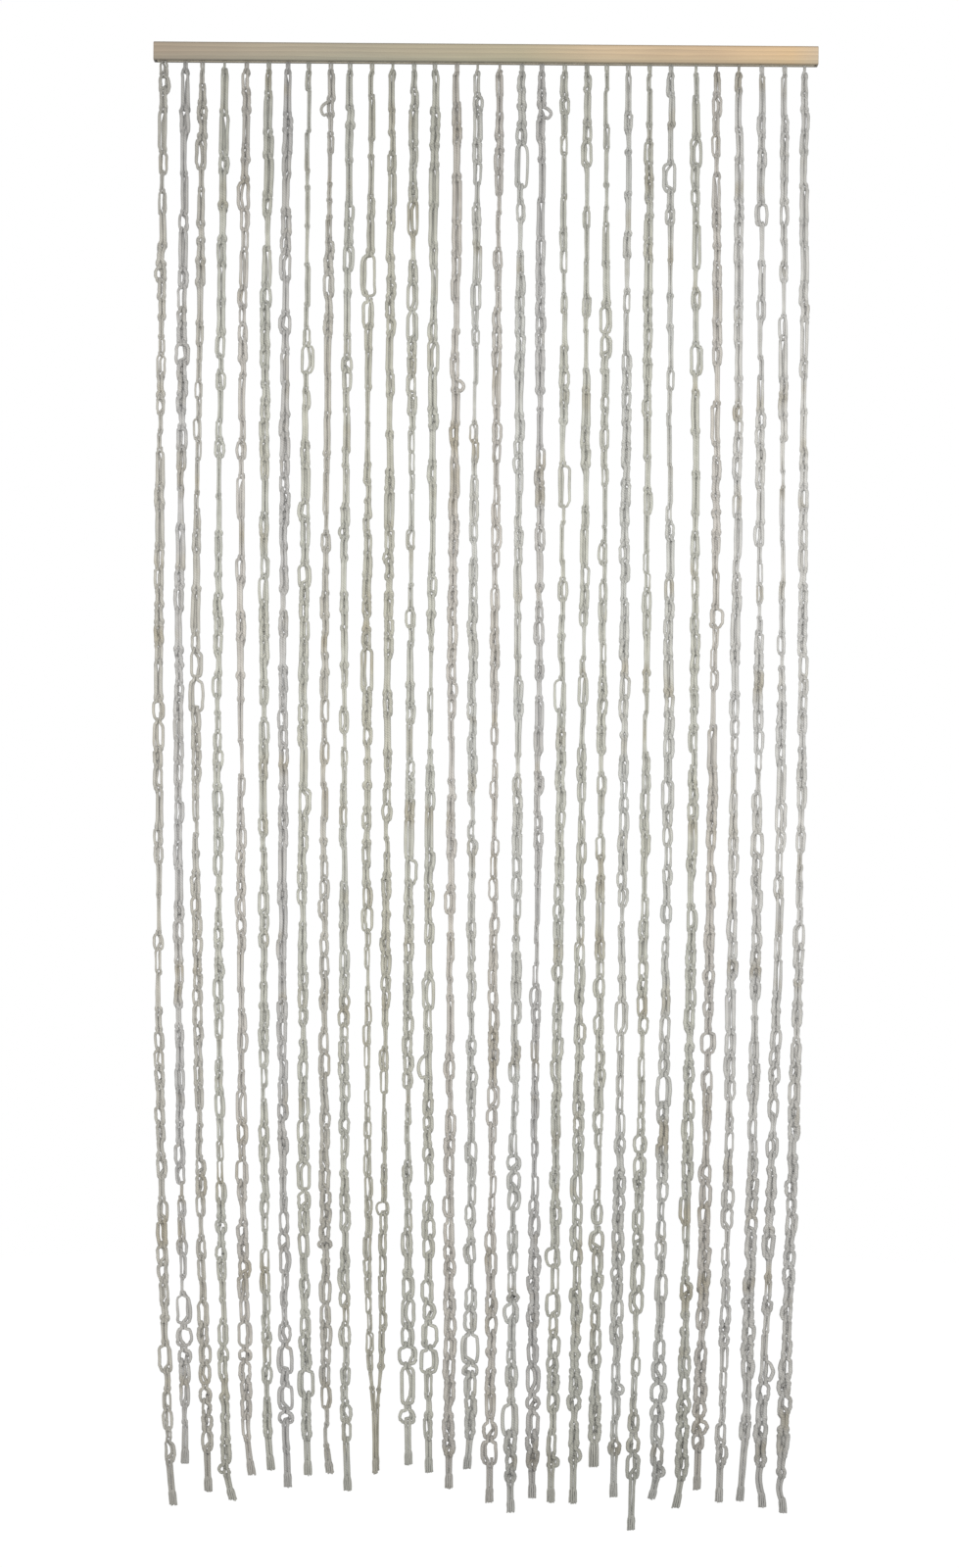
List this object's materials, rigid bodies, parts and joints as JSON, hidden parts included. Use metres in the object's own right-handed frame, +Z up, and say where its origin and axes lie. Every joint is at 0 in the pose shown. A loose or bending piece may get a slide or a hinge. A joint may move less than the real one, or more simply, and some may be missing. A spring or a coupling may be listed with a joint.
{
  "type": "string curtain with rail",
  "caption": "Door curtain of cords worked by hand into tight chains and open loops, hanging apart from a plain wooden rail.",
  "frame": {"origin": "middle of the rail's back face, which lies against the wall", "axes": "+Z up, +X along the rail to the viewer's right, -Y out of the wall towards the viewer"},
  "size_m": [0.9, 0.018, 2.011],
  "materials": {
    "wood": "bare planed softwood, matt",
    "cord": "twisted natural-fibre cord, matt"
  },
  "bodies": {
    "root": {"rail": "wood", "strings_left": "cord", "strings_right": "cord"}
  },
  "joints": []
}
